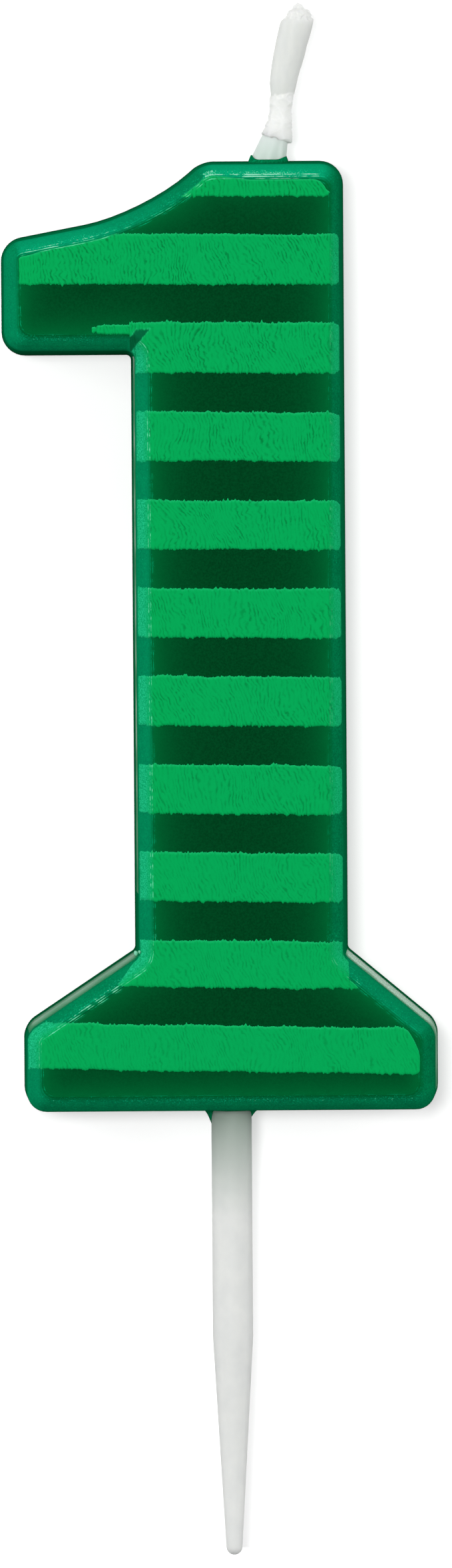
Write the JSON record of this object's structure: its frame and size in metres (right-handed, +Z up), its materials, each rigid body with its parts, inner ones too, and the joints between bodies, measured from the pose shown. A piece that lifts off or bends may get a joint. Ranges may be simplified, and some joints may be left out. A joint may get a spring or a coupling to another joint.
{
  "type": "number candle",
  "caption": "Wax birthday candle shaped as a numeral, striped across its front, with a bendable primed wick on top and a plastic cake pick cast into its foot.",
  "frame": {"origin": "on the pick's axis, at the top of its free length, where the wax lip round it ends", "axes": "+Z up along the pick towards the wick, -Y out of the striped front face, +X to the right of someone facing it"},
  "size_m": [0.0365, 0.0101, 0.1307],
  "materials": {
    "wax": "satin",
    "lacquer": "satin",
    "cotton": "matte",
    "priming_wax": "satin",
    "pick_plastic": "satin"
  },
  "bodies": {
    "candle": {"wax_body": "wax", "wick_root": "cotton", "wick_wax": "priming_wax", "pick": "pick_plastic", "stripe_01": "lacquer", "stripe_02": "lacquer", "stripe_03": "lacquer", "stripe_04": "lacquer", "stripe_05": "lacquer", "stripe_06": "lacquer", "stripe_07": "lacquer", "stripe_08": "lacquer", "stripe_09": "lacquer", "stripe_10": "lacquer", "stripe_11": "lacquer"},
    "wick": {"wick_tip": "cotton"}
  },
  "joints": [
    {"name": "wick_bend", "type": "hinge", "parent": "candle", "child": "wick", "pos_m": [0.00476, 0, 0.0851], "axis": [0, 1, 0], "range_deg": [-57, 33]}
  ]
}
